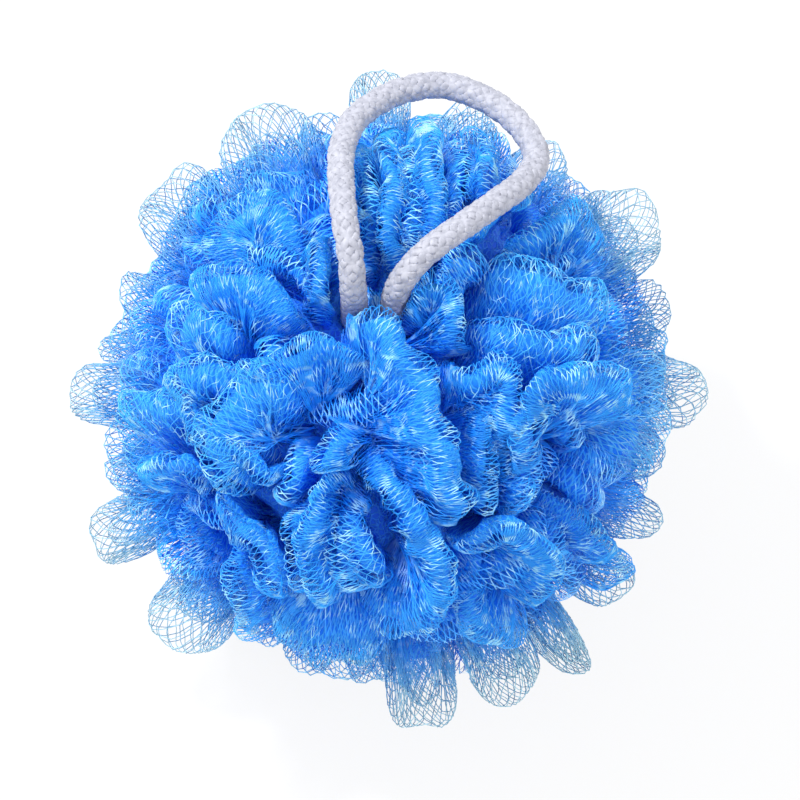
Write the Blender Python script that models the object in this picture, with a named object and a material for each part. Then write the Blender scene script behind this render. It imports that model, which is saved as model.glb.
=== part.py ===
"""Mesh bath pouf: a ruffled ball of net on a braided hanging cord.

Sizes are in millimetres up to the last step, which makes every object in metres.
The ball rests on a small flat spot at z = 0, the cord leaves a dip at its top,
and -Y is the front.
"""

import math

import bpy
import numpy as np

# Driving dimensions, mm
REST_HEIGHT = 53.0        # ball centre above the surface that it rests on
MIDDLE_X = -0.05           # middle of the ruffled ball's box, from the ball centre
MIDDLE_Y = 0.7
FLAT_SPOT_RADIUS = 23.0
CREASE_RADIUS = 44.0      # ball centre to the bottom of the creases between folds
FOLD_REACH = 58.5         # ball centre to the crest of an ordinary fold
FOLD_REACH_SPREAD = 2.2
FOLD_WIDTH = 9.0
FOLD_WIDTH_SPREAD = 1.5
RIM_RECESS = 6.0          # ordinary folds near the rim stop this far short
FOLD_COUNT = 105          # folds in all, the placed ones included
FACETS = 23               # divisions of each edge of the icosahedron behind the ball
CORD_DIAMETER = 5.5
CORD_GAP = 0.6            # net pressed down this far clear of the cord
LEG_SPACING = 7.5         # the cord's two legs, centre to centre, inside the ball
DIP_X = -2.0              # the dip and the well sit this far left of the centre
DIP_Y = 1.0
DIP_BACK = 4.5            # the dip's lowest place is this far behind the well
DIP_SLOPE = 0.9          # how steeply the folds rise round it
WELL_HALF_X = 7.2
WELL_HALF_Y = 4.7
WELL_FLOOR = 24.0         # above the ball centre
KNOT_HALF = (5.9, 4.2, 5.0)
KNOT_HEIGHT = 29.6        # above the ball centre
CORD_START = 35.0         # above the ball centre, just over the knot
VIEW_TILT = math.radians(70.0)   # the folds are laid out as seen from this high

RIGHT = np.array((1.0, 0.0, 0.0))
UP = np.array((0.0, math.sin(VIEW_TILT), math.cos(VIEW_TILT)))
TOWARD = np.array((0.0, -math.cos(VIEW_TILT), math.sin(VIEW_TILT)))

# Lobes round the rim: angle from the right (degrees), reach, half length along the
# rim, distance in front of the ball centre
RIM_LOBES = (
    (1, 61.0, 8.5, 5), (19, 58.0, 6.5, -7), (35, 63.3, 10.5, 12), (57, 59.0, 6.5, -6),
    (73, 55.5, 7.0, 1), (91, 63.5, 6.5, -7), (103, 58.0, 5.5, -14), (115, 61.4, 11.5, 13),
    (137, 60.4, 10.5, 10), (157, 55.0, 5.5, 5), (169, 55.5, 5.0, -6), (179, 61.0, 7.0, 2),
    (196, 55.5, 5.0, 4), (207, 63.0, 6.5, -4), (228, 63.0, 9.0, 6), (241, 52.0, 6.0, -8),
    (254, 54.8, 6.0, -4), (266, 55.5, 5.5, 8), (277, 64.0, 8.0, 2), (294, 64.5, 8.0, 8),
    (306, 65.5, 5.0, -9), (321, 60.0, 7.5, 0), (335, 58.0, 6.0, 5), (347, 55.5, 6.0, -5),
)

# Long folds on the side that faces the viewer: width, reach, and the crest's points,
# right and up from the ball centre
FRONT_FOLDS = (
    (9.0, 61.0, 15, ((-11, 16.5), (-3, 16.5), (4, 11.5), (9, 2.5), (12.5, -8),
                     (15, -19.5), (15.5, -30))),
    (8.5, 61.0, 7, ((-4.5, -11), (1.5, -18), (7.5, -25.5), (12, -32), (12, -39),
                    (8, -45), (0.5, -47), (-6.5, -46))),
    (8.0, 59.5, -7, ((-8, -15), (-13.5, -19.5), (-15.5, -29), (-14, -38.5), (-9.5, -45))),
    (9.0, 60.5, -15, ((-16, 2.5), (-25, 4), (-32, -1), (-34.5, -8.5), (-33, -16.5),
                      (-27, -20.5))),
    (8.0, 60.5, 14, ((-30, 1), (-25.5, 7), (-18, 10), (-9.5, 10.5), (-3.5, 7))),
    (8.0, 59.5, 9, ((3, 17.5), (6.5, 21.5), (11.5, 21.5), (15, 16.5), (16.5, 10))),
    (8.0, 59.5, 11, ((12.5, 7), (18, 5.5), (23.5, 7), (26.5, 2.5), (26, -6), (23.5, -13.5))),
    (9.0, 61.0, 14, ((28.5, -19.5), (27, -7), (29, 1.5), (36, 5.5), (44.5, 4),
                     (50.5, -1.5), (51, -10))),
    (8.5, 59.5, 13, ((-37, -22), (-31, -23.5), (-25, -28.5), (-21, -36.5), (-19, -42.5))),
    (7.0, 58.0, -5, ((-19, -22.5), (-17.5, -30.5), (-17, -39))),
    (8.5, 60.0, 12, ((14.5, -34), (19, -28), (24.5, -24.5), (31, -28), (33, -36.5),
                     (30.5, -44.5))),
    (8.0, 58.5, -8, ((14.5, -39.5), (18, -45), (24, -48), (30, -46.5))),
    (9.0, 58.5, 10, ((35.5, -22.5), (41.5, -26), (46.5, -33), (47.5, -39.5))),
    (9.0, 60.0, 15, ((19, 28), (27.5, 26), (38.5, 21.5), (47, 15))),
    (8.5, 59.0, 14, ((18.5, 17.5), (26.5, 14), (35.5, 12), (45.5, 10))),
    (9.0, 60.5, 12, ((26, 30.5), (33, 36.5), (42.5, 33), (48, 26))),
    (8.0, 61.5, 6, ((1.5, 28), (0.5, 36.5), (0, 44), (0.5, 52), (1, 56))),
    (8.0, 61.5, -8, ((9.5, 32.5), (10.5, 39.5), (9, 46), (8.5, 52.5), (9, 57))),
    (8.0, 61.5, 8, ((20.5, 42), (19, 48), (18, 54))),
    (9.0, 59.5, 13, ((-45.5, 12), (-38, 16.5), (-30, 14))),
    (8.5, 59.0, 13, ((-45, 3.5), (-36.5, 6.5), (-28.5, 3))),
    (9.0, 59.0, 12, ((-53, -3), (-44.5, -0.5), (-37, -5))),
    (8.5, 58.5, 11, ((-49.5, -14.5), (-42.5, -12.5), (-36, -17.5))),
    (9.0, 60.5, 14, ((-33.5, 24.5), (-32.5, 32.5), (-27, 37.5), (-20, 36), (-16.5, 29.5))),
    (7.0, 59.0, 6, ((-15, 32.5), (-12, 26), (-15, 19))),
    (8.5, 60.0, 12, ((-41, 20), (-33, 24.5), (-24.5, 22.5), (-18.5, 15.5))),
    (8.0, 57.5, 6, ((19, -1), (20.5, -11), (18.5, -20.5))),
    (7.0, 57.0, -5, ((25.5, -16), (27.5, -23.5))),
    (8.0, 57.5, 7, ((-6.5, -22.5), (-3.5, -30.5), (-1.5, -39))),
    (8.0, 58.5, -9, ((-10.5, -4), (-12, -10), (-10, -16.5))),
    (8.0, 61.3, 5, ((-8, 31), (-9, 38), (-8, 46), (-5, 52))),
    (8.0, 61.3, -5, ((13, 31), (19, 35.5), (25, 39.5), (29, 45))),
)

# The free cord: right, up, and distance from the ball centre
CORD_ROUTE = (
    (-6.0, 21.5, 57.0), (-6.4, 26.6, 61.3), (-7.5, 33.2, 63.8), (-8.3, 43.0, 63.9),
    (-7.6, 48.4, 63.9), (-4.7, 53.3, 64.0), (2.3, 57.6, 64.4), (10.6, 59.0, 64.8),
    (18.0, 56.8, 64.6), (23.6, 53.2, 64.3), (27.4, 48.6, 63.9), (28.4, 44.4, 63.7),
    (25.8, 40.4, 63.6), (20.8, 36.6, 63.6), (15.4, 32.8, 63.4), (9.8, 28.9, 62.6),
    (5.6, 25.1, 60.3), (2.9, 21.4, 56.6),
)


def unit(vectors):
    vectors = np.asarray(vectors, dtype=float)
    return vectors / np.linalg.norm(vectors, axis=-1, keepdims=True)


def smooth(points, count):
    """Evenly spaced points on a smooth curve through the given ones."""
    points = np.asarray(points, dtype=float)
    ends = np.vstack((2 * points[0] - points[1], points, 2 * points[-1] - points[-2]))
    fine = []
    for i in range(1, len(ends) - 2):
        a, b, c, d = ends[i - 1:i + 3]
        for t in np.linspace(0.0, 1.0, 24, endpoint=False):
            fine.append(0.5 * (2 * b + (c - a) * t + (2 * a - 5 * b + 4 * c - d) * t ** 2
                               + (3 * b - a - 3 * c + d) * t ** 3))
    fine = np.array(fine + [points[-1]])
    along = np.concatenate(((0.0,), np.cumsum(np.linalg.norm(np.diff(fine, axis=0), axis=1))))
    at = np.linspace(0.0, along[-1], count)
    return np.column_stack([np.interp(at, along, fine[:, k]) for k in range(3)])


def seen(right, up, reach):
    """The point at this distance from the ball centre, in front of a place in the view."""
    depth = math.sqrt(max(reach ** 2 - right ** 2 - up ** 2, 0.0))
    return right * RIGHT + up * UP + depth * TOWARD


def make_folds():
    """Each fold: width, reach, how square its ends are, its crest's directions, its lean."""
    folds = []
    for angle, reach, half, front in RIM_LOBES:
        crest = []
        for step in (-1.0, 0.0, 1.0):
            a = math.radians(angle) + step * 1.2 * half / reach
            crest.append(math.cos(a) * RIGHT + math.sin(a) * UP + front / reach * TOWARD)
        folds.append((10.0 + 0.4 * half, reach, 2.6, unit(smooth(crest, 9)), 0.0))
    for width, reach, lean, places in FRONT_FOLDS:
        crest = [seen(x, y, reach) for x, y in places]
        folds.append((width, reach, 5.0, unit(smooth(crest, 13)), lean))

    # The rest go wherever there is most room, each turned its own way
    rng = np.random.RandomState(11)
    taken = np.vstack([fold[3] for fold in folds])
    taken = np.vstack((taken, unit([(DIP_X, DIP_Y, FOLD_REACH)])))
    for fold in folds[:len(RIM_LOBES)]:
        taken = np.vstack((taken, unit(fold[3] + 0.2 * TOWARD)))
    while len(folds) < FOLD_COUNT:
        best = None
        for _ in range(60):
            centre = unit(rng.normal(size=3))
            side = unit(np.cross(centre, rng.normal(size=3)))
            across = np.cross(centre, side)
            half = rng.uniform(0.20, 0.36)
            bend = rng.uniform(-1.0, 1.0)
            twist = rng.uniform(-3.0, 3.0)
            t = np.linspace(-half, half, 9)[:, None]
            crest = unit(centre + side * t + across * (bend * t ** 2 + twist * t ** 3))
            room = np.degrees(np.arccos(np.clip(crest @ taken.T, -1.0, 1.0))).min(axis=1)
            score = room.min() + 0.35 * room.mean() + 12.0 * half
            if best is None or score > best[0]:
                best = (score, crest)
        reach = FOLD_REACH + rng.uniform(-1.0, 1.0) * FOLD_REACH_SPREAD
        from_rim = abs(best[1][4] @ TOWARD) / 0.42
        reach -= RIM_RECESS * max(1.0 - from_rim ** 2, 0.0)
        width = FOLD_WIDTH + rng.uniform(-1.0, 1.0) * FOLD_WIDTH_SPREAD
        lean = rng.choice((-1.0, 1.0)) * rng.uniform(5.0, 14.0)
        folds.append((width, reach, 4.0, best[1], lean))
        taken = np.vstack((taken, best[1]))
    return folds


def geodesic(count):
    """Directions and triangles of an icosahedron with each edge cut into count."""
    g = (1.0 + math.sqrt(5.0)) / 2.0
    corners = unit([(-1, g, 0), (1, g, 0), (-1, -g, 0), (1, -g, 0), (0, -1, g), (0, 1, g),
                    (0, -1, -g), (0, 1, -g), (g, 0, -1), (g, 0, 1), (-g, 0, -1), (-g, 0, 1)])
    sides = ((0, 11, 5), (0, 5, 1), (0, 1, 7), (0, 7, 10), (0, 10, 11), (1, 5, 9), (5, 11, 4),
             (11, 10, 2), (10, 7, 6), (7, 1, 8), (3, 9, 4), (3, 4, 2), (3, 2, 6), (3, 6, 8),
             (3, 8, 9), (4, 9, 5), (2, 4, 11), (6, 2, 10), (8, 6, 7), (9, 8, 1))
    found = {}
    points = []
    faces = []

    def corner(point):
        key = tuple(np.round(point, 6))
        if key not in found:
            found[key] = len(points)
            points.append(point)
        return found[key]

    for a, b, c in sides:
        a, b, c = corners[a], corners[b], corners[c]
        rows = []
        for i in range(count + 1):
            rows.append([corner(unit(a * (count - i) + b * (i - j) + c * j))
                         for j in range(i + 1)])
        for i in range(count):
            for j in range(i + 1):
                faces.append((rows[i][j], rows[i + 1][j], rows[i + 1][j + 1]))
                if j < i:
                    faces.append((rows[i][j], rows[i + 1][j + 1], rows[i][j + 1]))
    return np.array(points), faces


def ball_radius(directions, faces, folds, cord):
    """How far the ruffled ball reaches in each direction."""
    radius = np.full(len(directions), CREASE_RADIUS)
    for width, reach, square, crest, lean in folds:
        normal = unit(np.cross(np.gradient(crest, axis=0), crest))
        line = unit(crest + normal * (0.25 * lean / reach))
        start, end = line[:-1] * reach, line[1:] * reach
        run = end - start
        for k in range(len(run)):
            spot = directions * reach - start[k]
            t = np.clip(spot @ run[k] / (run[k] @ run[k]), 0.0, 1.0)
            aside = np.linalg.norm(spot - t[:, None] * run[k], axis=1) / (0.6 * width + 0.1 * abs(lean))
            to_end = np.abs(2.0 * (k + t) / len(run) - 1.0)
            top = np.sqrt(np.clip(1.0 - aside ** 2 - to_end ** square, 0.0, 1.0))
            high = reach - 0.7 - CREASE_RADIUS
            radius = np.maximum(radius, CREASE_RADIUS + high * top)

    # Each crest and crease is rounded off against its neighbours
    faces = np.array(faces)
    for _ in range(2):
        total = np.zeros(len(radius))
        count = np.zeros(len(radius))
        for a, b in ((0, 1), (1, 2), (2, 0)):
            np.add.at(total, faces[:, a], radius[faces[:, b]])
            np.add.at(count, faces[:, a], 1.0)
        radius = 0.7 * radius + 0.3 * total / count

    # The dip that the cord comes out of
    dip = unit(np.array((DIP_X, DIP_Y + DIP_BACK, FOLD_REACH)))
    off = np.arccos(np.clip(directions @ dip, -1.0, 1.0)) * FOLD_REACH
    radius = np.minimum(radius, 47.0 + DIP_SLOPE * off ** 1.35)

    # Folds pressed down under the cord
    for spot in cord:
        far = np.linalg.norm(spot)
        if far < 50.0:
            continue
        aside = np.arccos(np.clip(directions @ (spot / far), -1.0, 1.0)) * far
        clear = 0.5 * CORD_DIAMETER + CORD_GAP
        under = far - np.sqrt(np.clip(clear ** 2 - aside ** 2, 0.0, None))
        near = aside < clear + 1.4
        radius[near] = np.minimum(radius[near], under[near])

    # The flat spot underneath, where the weight presses the folds level
    down = -directions[:, 2]
    to_floor = REST_HEIGHT / np.maximum(down, 1e-6)
    inside = to_floor * np.sqrt(np.clip(1.0 - down ** 2, 0.0, 1.0)) < FLAT_SPOT_RADIUS
    radius = np.where((down > 0.2) & inside, to_floor, radius)
    return np.where(down > 0.2, np.minimum(radius, to_floor), radius)


def cord_line():
    """The free cord's centreline, from one leg's foot to the other's."""
    left = (DIP_X - 0.5 * LEG_SPACING, DIP_Y)
    right = (DIP_X + 0.5 * LEG_SPACING, DIP_Y)
    route = [(*left, CORD_START), (*left, 43.0), (left[0], left[1], 51.0)]
    route += [seen(*place) for place in CORD_ROUTE]
    route += [(right[0], right[1], 51.0), (*right, 43.0), (*right, CORD_START)]
    return route


def new_object(name, data):
    piece = bpy.data.objects.new(name, data)
    bpy.context.scene.collection.objects.link(piece)
    return piece


def new_mesh(name, points, faces):
    mesh = bpy.data.meshes.new(name)
    shifted = np.asarray(points) + (-MIDDLE_X, -MIDDLE_Y, REST_HEIGHT)
    mesh.from_pydata([tuple(p) for p in shifted * 0.001], [], faces)
    mesh.update()
    return new_object(name, mesh)


def material(name, colour, roughness, metallic=0.0):
    made = bpy.data.materials.new(name)
    made.use_nodes = True
    surface = made.node_tree.nodes["Principled BSDF"]
    surface.inputs["Base Color"].default_value = (*colour, 1.0)
    surface.inputs["Roughness"].default_value = roughness
    surface.inputs["Metallic"].default_value = metallic
    return made


def ring_mesh(profile, sides, scale_x, scale_y, centre):
    """A closed turned body: profile is radius and height from the bottom up."""
    points = [(centre[0], centre[1], centre[2] + profile[0][1])]
    for radius, height in profile[1:-1]:
        for k in range(sides):
            a = 2.0 * math.pi * k / sides
            points.append((centre[0] + radius * scale_x * math.cos(a),
                           centre[1] + radius * scale_y * math.sin(a), centre[2] + height))
    points.append((centre[0], centre[1], centre[2] + profile[-1][1]))
    faces = [(0, 1 + (k + 1) % sides, 1 + k) for k in range(sides)]
    for row in range(len(profile) - 3):
        low = 1 + row * sides
        for k in range(sides):
            n = (k + 1) % sides
            faces.append((low + k, low + n, low + sides + n, low + sides + k))
    low = 1 + (len(profile) - 3) * sides
    faces += [(low + k, low + (k + 1) % sides, len(points) - 1) for k in range(sides)]
    return points, faces


def main():
    for old in list(bpy.data.objects):
        bpy.data.objects.remove(old, do_unlink=True)

    route = cord_line()
    folds = make_folds()
    directions, faces = geodesic(FACETS)
    radius = ball_radius(directions, faces, folds, smooth(route, 160))
    net = new_mesh("net_ruffle", directions * radius[:, None], faces)
    net.data.materials.append(material("blue_net", (0.02, 0.24, 0.84), 0.45))

    # The well down to the gathered waist, which the cord and its knot sit in
    points, faces = ring_mesh(((0.0, WELL_FLOOR), (1.0, WELL_FLOOR), (1.0, 75.0), (0.0, 75.0)),
                              24, WELL_HALF_X, WELL_HALF_Y, (DIP_X, DIP_Y, 0.0))
    well = new_mesh("well_cutter", points, faces)
    well.hide_render = True
    well.display_type = "WIRE"
    cut = net.modifiers.new("well", "BOOLEAN")
    cut.operation = "DIFFERENCE"
    cut.solver = "EXACT"
    cut.object = well

    steps = [math.pi * k / 9 for k in range(10)]
    profile = [(math.sin(a), -KNOT_HALF[2] * math.cos(a)) for a in steps]
    points, faces = ring_mesh(profile, 20, KNOT_HALF[0], KNOT_HALF[1],
                              (DIP_X, DIP_Y, KNOT_HEIGHT))
    knot = new_mesh("cord_knot", points, faces)
    knot.data.materials.append(material("white_knot", (0.82, 0.82, 0.86), 0.6))

    curve = bpy.data.curves.new("hanging_cord", "CURVE")
    curve.dimensions = "3D"
    curve.bevel_depth = 0.5 * CORD_DIAMETER * 0.001
    curve.bevel_resolution = 3
    curve.use_fill_caps = True
    line = smooth(route, 30) + (-MIDDLE_X, -MIDDLE_Y, REST_HEIGHT)
    spline = curve.splines.new("POLY")
    spline.points.add(len(line) - 1)
    for point, place in zip(spline.points, line):
        point.co = (*(place * 0.001), 1.0)
    cord = new_object("hanging_cord", curve)
    cord.data.materials.append(material("white_cord", (0.85, 0.84, 0.88), 0.55))


main()
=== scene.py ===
"""Looks for the mesh bath pouf: net folds, braided cord, studio.

Shapes are worked out in millimetres from the ball centre, and made in metres.
"""

import math
from collections import namedtuple

import bpy
import numpy as np
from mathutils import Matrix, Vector


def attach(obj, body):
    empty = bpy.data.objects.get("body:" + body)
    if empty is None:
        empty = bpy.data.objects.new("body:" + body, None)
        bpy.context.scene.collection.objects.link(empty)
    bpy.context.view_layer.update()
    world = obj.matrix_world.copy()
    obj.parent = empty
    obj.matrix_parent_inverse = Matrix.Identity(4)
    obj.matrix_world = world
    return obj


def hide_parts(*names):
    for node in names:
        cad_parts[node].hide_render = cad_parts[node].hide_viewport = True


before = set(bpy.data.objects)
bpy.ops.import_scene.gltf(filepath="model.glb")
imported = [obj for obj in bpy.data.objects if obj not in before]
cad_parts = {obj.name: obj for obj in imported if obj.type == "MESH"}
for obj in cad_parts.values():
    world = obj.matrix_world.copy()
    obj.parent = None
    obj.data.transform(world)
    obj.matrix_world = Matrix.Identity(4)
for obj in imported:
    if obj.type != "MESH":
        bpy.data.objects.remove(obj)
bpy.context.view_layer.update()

MM = 0.001
TURN = 2.0 * math.pi

# The same layout as in part.py, mm
REST_HEIGHT = 53.0        # ball centre above the surface that it rests on
MIDDLE_X = -0.05          # middle of the ruffled ball's box, from the ball centre
MIDDLE_Y = 0.7
CREASE_RADIUS = 44.0      # ball centre to the bottom of the creases between folds
FOLD_REACH = 58.5         # ball centre to the crest of an ordinary fold
FOLD_REACH_SPREAD = 2.2
FOLD_WIDTH = 9.0
FOLD_WIDTH_SPREAD = 1.5
RIM_RECESS = 6.0          # ordinary folds near the rim stop this far short
RECESS_ZONE = 0.42        # as far from the rim as this
FOLD_COUNT = 105          # outer folds in all, the placed ones included
FOLD_SEED = 11
FOLD_TRIES = 60           # places tried for each fold that the photo doesn't show
FOLD_HALF = (0.20, 0.36)  # half its length, radians
FOLD_LEAN = (5.0, 14.0)
CORD_DIAMETER = 5.5
CORD_GAP = 0.6            # net pressed down this far clear of the cord
LEG_SPACING = 7.5         # the cord's two legs, centre to centre, inside the ball
DIP_X = -2.0              # the dip and the well sit this far left of the centre
DIP_Y = 1.0
DIP_BACK = 4.5            # the dip's lowest place is this far behind the well
DIP_SLOPE = 0.9           # how steeply the folds rise round it
KNOT_HALF = (5.9, 4.2, 5.0)
KNOT_HEIGHT = 29.6        # above the ball centre
CORD_START = 35.0         # above the ball centre, just over the knot
CORD_LEG_HEIGHTS = (43.0, 51.0)
VIEW_TILT = math.radians(70.0)   # the photo's height above the front
CENTRE = np.array((-MIDDLE_X, -MIDDLE_Y, REST_HEIGHT))

# Net, mm
FOCUS_RADIUS = 33.0       # where a fold's gathers run to
WALL = 23.0               # how far down each side of a fold the net is made
SHOULDER = 7.0            # below its crest band a side has closer strands this far
INNER_BAND = 9.0          # the shorter folds are made this far down only
LAYER_GAP = 2.4           # the net's next layer lies this far inside the outer one
LAYER_PRESS = 1.2         # and is pressed this much lower
LAYER_STEP = 1.8
LAYER_COLUMNS = 19
RIM_GAP = 6.0             # it lies this much deeper at the rim, where net is loosest
RIM_ZONE = 0.45           # folds whose crests lie nearer the rim than this are open net
HEART_DEPTH = 13.0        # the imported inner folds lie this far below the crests
HEART_RADIUS = 42.0
HEART_CUTS = 30
INNER_REACH = 53.5        # the shorter folds that fill between the outer ones
INNER_COUNT = 100
INNER_WIDTH = 8.0
INNER_SEED = 23
INNER_TRIES = 30
INNER_HALF = (0.14, 0.26)

# How square a fold's ends are, by where it was laid out
LOBE_SQUARE = 2.6
FRONT_SQUARE = 5.0
SPARE_SQUARE = 4.0
INNER_SQUARE = 3.0

# Kinds of net: cell width along the crest and length across it, strand thickness,
# fullness, how uneven, steps of a strand in its three bands
Kind = namedtuple("Kind", "cell tall thick fullness uneven steps")
KINDS = {
    "open": Kind(1.60, 3.3, 0.20, (0.62, 0.82), 0.6, (1.8, 3.0, 4.2)),
    "front": Kind(0.95, 5.0, 0.19, (0.46, 0.74), 0.35, (1.8, 3.0, 4.6)),
    "loose": Kind(1.40, 3.0, 0.20, (0.70, 0.90), 2.0, (1.4, 2.2, 3.4)),
    "ribbed": Kind(1.05, 4.6, 0.20, (0.42, 0.78), 0.5, (2.1, 3.4, 5.0)),
    "inner": Kind(1.15, 4.0, 0.22, (0.50, 0.90), 0.5, (2.4, 0.0, 0.0)),
}
# Waves along a fold: ranges of size and length. A swell is a share of its width
SWELL = (0.0, 0.22), (10.0, 22.0)
SWAY = (0.8, 1.8), (15.0, 25.0)
DENT = (0.2, 0.9), (9.0, 18.0)
PLEAT = (0.4, 0.9), (4.5, 7.5)
PLACED_SWAY = 0.6         # folds laid out by the photo sway this much of that
END_TAPER = 9.0           # a fold narrows over this length at its ends
ANY_PHASE = (0.0, 6.28)
# Uneven shifts all over the ball: wavelength and size
CRUMPLES = ((18.0, 0.9), (8.0, 0.35), (3.6, 0.2))
CRUMPLE_SEED = 5
STRAND_JITTER = 0.02
STRAND_SEED = 1000        # plus the fold's own

# The net pressed down: in the dip, along the cord, beside its legs, underneath
DIP_FLOOR = 47.0
DIP_CURVE = 1.35
DIP_RADIUS = 22.0
DIP_EASE = 1.0
CORD_LIES_ABOVE = 60.0    # the cord is free of the net's dip beyond this radius
NEAR_LOOP = 0.3           # cosine of the angle from the middle of its loop
CORD_GROOVE_SLOPE = 2.6
CORD_GROOVE_EASE = 0.35
LEG_TOP = 61.0
LEG_FOOT = 20.0
LEG_RADIUS = 14.0         # the legs are no farther than this from the well's middle
LEG_BACK = 2.0            # moved this far back
LEG_GAP = 0.35
REST_GAP = 0.15
REST_EASE = 0.3
BATCH = 10000             # points worked on at a time

# Braided cord, mm
CORD_STEPS = 240          # of the line that presses the net
BRAID_STEPS = 313
YARNS = 8                 # in each direction
BRAID_PITCH = 17.0
BRAID_INSET = 0.62        # from the cord's outside to the middle of its yarns
BRAID_WEAVE = 0.24        # a yarn's way over and under that
YARN_HALF_WIDTH = 0.90
YARN_HALF_THICKNESS = 0.32
YARN_SIDES = 6

# Camera: the photo has this many pixels to a mm, and the ball's centre there
PHOTO_SCALE = 5.27
PHOTO_SIZE = 800.0
PHOTO_CENTRE = (385.0, 398.0)

# Light, and the share of white glow in the floor as the camera sees it
LIT_SPOT = (0.0, 0.0, 0.055)
LAMP_SIZE = 0.10
FLOOR_GLOW = 0.85

# Colours by depth, from 0 deep in the ball to 1 at its surface; darker deep in the ball, as
# painted shade
DEEP_BLUE = (0.003, 0.170, 0.900)
MID_BLUE = (0.012, 0.290, 0.950)
LAYER_BLUES = ((0.0, (0.001, 0.120, 0.840)), (0.5, (0.003, 0.190, 0.930)),
               (1.0, (0.015, 0.290, 0.920)))
HEART_BLUES = ((0.0, (0.002, 0.11, 0.80)), (1.0, (0.006, 0.21, 0.96)))
# The strands' looks: name, colours, painted glint. The front look is a darker copy of the same
# net, as painted shade, and the soft and open looks for folds near the rim are paler copies, as
# painted light coming through the thin net there
NET_BLUES = (
    ("front", ((0.0, DEEP_BLUE), (0.5, MID_BLUE), (0.85, (0.032, 0.39, 0.97))),
     (0.42, 0.84, 1.00)),
    ("ribbed", ((0.0, DEEP_BLUE), (0.5, MID_BLUE), (0.85, (0.060, 0.47, 0.99))),
     (0.44, 0.85, 1.00)),
    ("soft", ((0.0, (0.012, 0.29, 0.93)), (0.5, (0.045, 0.43, 0.96)),
              (0.85, (0.13, 0.53, 0.95))), (0.42, 0.82, 1.00)),
    ("open", ((0.0, (0.006, 0.22, 0.90)), (0.4, (0.025, 0.35, 0.94)),
              (0.65, (0.13, 0.48, 0.86)), (0.9, (0.29, 0.53, 0.68))), (0.50, 0.78, 0.90)),
)
# The cord's shades, by its fibres' noise
CORD_WHITES = ((0.3, (0.32, 0.33, 0.40)), (0.6, (0.46, 0.47, 0.55)))

# The placed folds where the net lies loose and uneven
LOOSE = (3, 13, 14, 19, 20, 21, 28)

RIGHT = np.array((1.0, 0.0, 0.0))
UP = np.array((0.0, math.sin(VIEW_TILT), math.cos(VIEW_TILT)))
TOWARD = np.array((0.0, -math.cos(VIEW_TILT), math.sin(VIEW_TILT)))

# Lobes round the rim: angle from the right (degrees), reach, half length along the
# rim, distance in front of the ball centre
RIM_LOBES = (
    (1, 61.0, 8.5, 5), (19, 58.0, 6.5, -7), (35, 63.3, 10.5, 12), (57, 59.0, 6.5, -6),
    (73, 55.5, 7.0, 1), (91, 63.5, 6.5, -7), (103, 58.0, 5.5, -14), (115, 61.4, 11.5, 13),
    (137, 60.4, 10.5, 10), (157, 55.0, 5.5, 5), (169, 55.5, 5.0, -6), (179, 61.0, 7.0, 2),
    (196, 55.5, 5.0, 4), (207, 63.0, 6.5, -4), (228, 63.0, 9.0, 6), (241, 52.0, 6.0, -8),
    (254, 54.8, 6.0, -4), (266, 55.5, 5.5, 8), (277, 64.0, 8.0, 2), (294, 64.5, 8.0, 8),
    (306, 65.5, 5.0, -9), (321, 60.0, 7.5, 0), (335, 58.0, 6.0, 5), (347, 55.5, 6.0, -5),
)
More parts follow.
